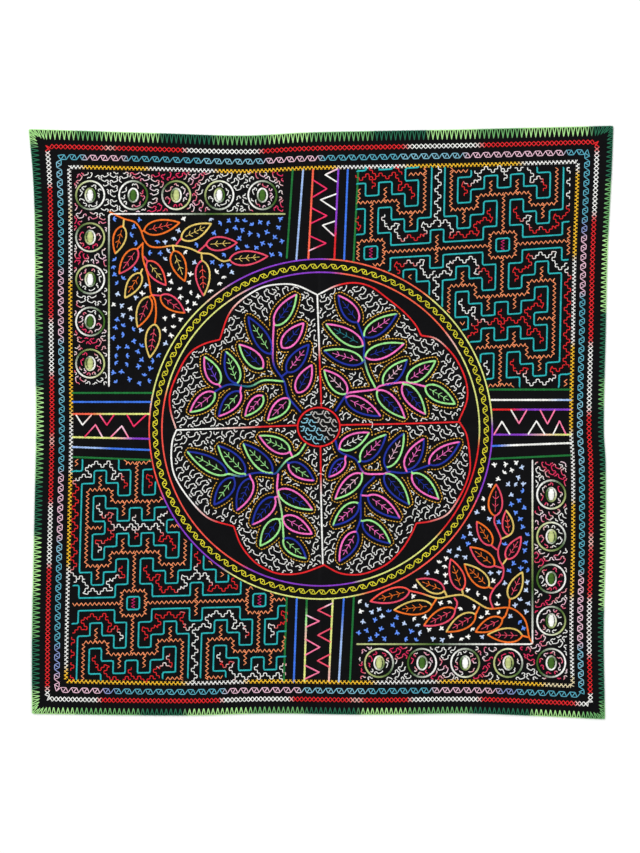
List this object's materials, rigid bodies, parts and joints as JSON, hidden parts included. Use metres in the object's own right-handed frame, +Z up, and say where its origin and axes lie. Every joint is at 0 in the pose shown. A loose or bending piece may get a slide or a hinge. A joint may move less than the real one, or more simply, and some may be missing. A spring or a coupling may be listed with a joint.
{
  "type": "embroidered square cloth",
  "caption": "Square dark cotton cloth with hand embroidery: a ring and lobed medallion, maze panels, stripes and stitched borders.",
  "frame": {"origin": "middle of the cloth's box, on the surface it lies on", "axes": "+Z up out of the worked face, +Y towards the head of the design, +X to its right seen from above"},
  "size_m": [0.6988, 0.7096, 0.0025],
  "materials": {
    "cotton": "matte",
    "yarn": "satin"
  },
  "bodies": {
    "root": {"cloth": "cotton"}
  },
  "joints": []
}
